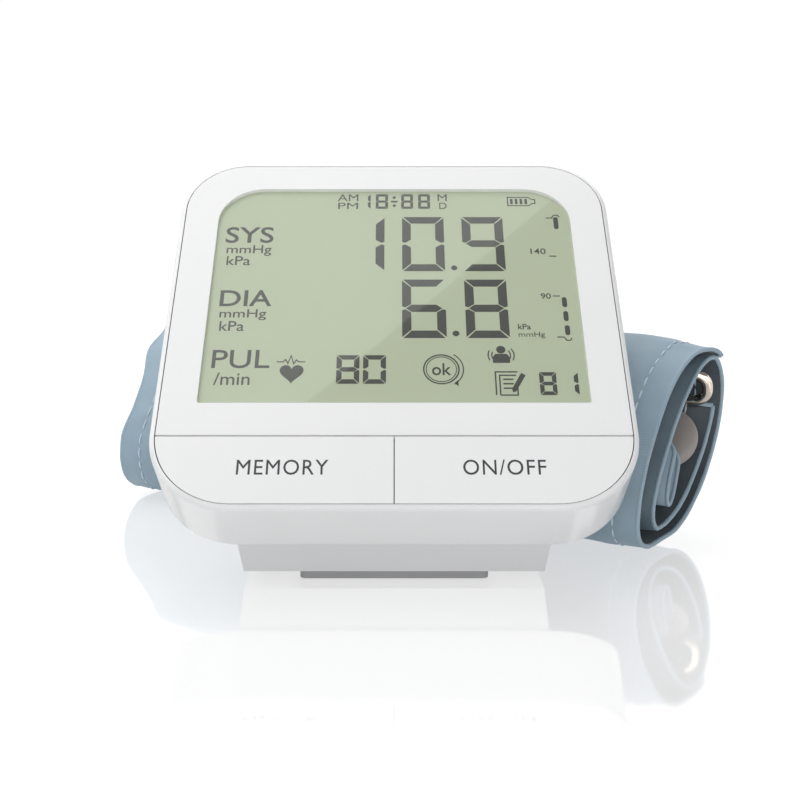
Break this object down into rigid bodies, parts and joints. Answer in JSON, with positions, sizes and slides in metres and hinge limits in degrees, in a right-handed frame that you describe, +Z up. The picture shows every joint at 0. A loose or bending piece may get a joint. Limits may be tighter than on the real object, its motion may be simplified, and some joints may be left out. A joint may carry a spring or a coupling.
{
  "type": "upper arm blood pressure monitor",
  "caption": "Tilted display console with two wide keys on a low pedestal, and a rolled fabric arm cuff with a metal ring lying behind it.",
  "frame": {"origin": "middle of the front foot's resting face, on the table", "axes": "+Z up, the display looks towards -Y and upwards, +X to the right as the display is read"},
  "size_m": [0.1743, 0.1362, 0.1004],
  "materials": {
    "case_white": "white satin moulding",
    "face_white": "white gloss moulding",
    "window_clear": "clear glossy sheet",
    "lcd_cell": "grey green liquid crystal cell",
    "polariser": "tinted film",
    "reflector_film": "brushed reflector film",
    "black_plastic": "fine grained",
    "grey_plastic": "fine grained",
    "elastomer": "smooth silicone",
    "circuit_board": "glass laminate with solder mask",
    "zinc_steel": "zinc plated",
    "flat_cable": "ribbed flat cable",
    "grey_rubber": "matte",
    "black_rubber": "matte",
    "pack_wrap": "shrink wrap",
    "contact_brass": "plated spring strip",
    "rotor_iron": "laminated",
    "cuff_fabric": "woven nylon, blue grey",
    "hook_tape": "hook pile",
    "ring_metal": "polished wire",
    "port_rubber": "matte, warm grey"
  },
  "bodies": {
    "console": {"front_housing": "case_white", "face_plate": "face_white", "display_window": "window_clear", "polariser_film": "polariser", "lcd_glass": "lcd_cell", "lcd_reflector": "reflector_film", "lcd_carrier": "black_plastic", "zebra_strips": "elastomer", "memory_switch": "black_plastic", "on_off_switch": "black_plastic", "key_board": "circuit_board", "main_board": "circuit_board", "board_screws": "zinc_steel", "processor": "black_plastic", "pressure_sensor": "black_plastic", "buzzer": "black_plastic", "board_cable": "flat_cable", "rear_housing": "case_white", "housing_screws": "zinc_steel", "front_foot": "grey_rubber", "rear_feet": "grey_rubber", "battery_pack": "pack_wrap", "battery_contacts": "contact_brass", "charging_socket": "zinc_steel", "motor_can": "zinc_steel", "pump_head": "black_plastic", "pump_cradle": "grey_rubber", "valve_body": "grey_plastic", "air_manifold": "grey_plastic", "air_tubes": "elastomer", "air_socket": "grey_plastic", "socket_seal": "black_rubber"},
    "memory_key": {"memory_key": "face_white"},
    "memory_plunger": {"memory_plunger": "grey_plastic"},
    "on_off_key": {"on_off_key": "face_white"},
    "on_off_plunger": {"on_off_plunger": "grey_plastic"},
    "battery_door": {"battery_door": "case_white"},
    "motor_rotor": {"motor_rotor": "rotor_iron"},
    "valve_plunger": {"valve_plunger": "zinc_steel"},
    "cuff": {"cuff_outer_cover": "cuff_fabric", "cuff_inner_cover": "cuff_fabric", "air_bladder": "black_rubber", "hook_patch": "hook_tape", "closing_flap": "cuff_fabric", "ring_sleeve": "cuff_fabric", "cuff_air_port": "port_rubber"},
    "d_ring": {"d_ring": "ring_metal"}
  },
  "joints": [
    {"name": "memory_key_press", "type": "slide", "parent": "console", "child": "memory_key", "axis": [0, 0.7193, -0.6947], "range_m": [0, 0.0006], "stiffness_N_per_m": 1500, "springref_m": -0.0004},
    {"name": "memory_plunger_press", "type": "slide", "parent": "console", "child": "memory_plunger", "axis": [0, 0.7193, -0.6947], "range_m": [0, 0.0006]},
    {"name": "on_off_key_press", "type": "slide", "parent": "console", "child": "on_off_key", "axis": [0, 0.7193, -0.6947], "range_m": [0, 0.0006], "stiffness_N_per_m": 1500, "springref_m": -0.0004},
    {"name": "on_off_plunger_press", "type": "slide", "parent": "console", "child": "on_off_plunger", "axis": [0, 0.7193, -0.6947], "range_m": [0, 0.0006]},
    {"name": "battery_door_slide", "type": "slide", "parent": "console", "child": "battery_door", "axis": [0, 1, 0], "range_m": [0, 0.006]},
    {"name": "pump_spin", "type": "hinge", "parent": "console", "child": "motor_rotor", "pos_m": [0, 0.0124, 0.025], "axis": [1, 0, 0], "continuous": true},
    {"name": "valve_stroke", "type": "slide", "parent": "console", "child": "valve_plunger", "axis": [-1, 0, 0], "range_m": [0, 0.001], "stiffness_N_per_m": 400, "springref_m": -0.0005},
    {"name": "cuff_apart", "type": "slide", "parent": "console", "child": "cuff", "axis": [0, 1, 0], "range_m": [0, 0.12]},
    {"name": "ring_swing", "type": "hinge", "parent": "cuff", "child": "d_ring", "pos_m": [0.00386, 0.07652, 0.03562], "axis": [0.9272, -0.3746, 0], "range_deg": [-10, 20]}
  ],
  "couplings": [
    {"joint": "memory_plunger_press", "follows": "memory_key_press", "ratio": 1},
    {"joint": "on_off_plunger_press", "follows": "on_off_key_press", "ratio": 1}
  ]
}
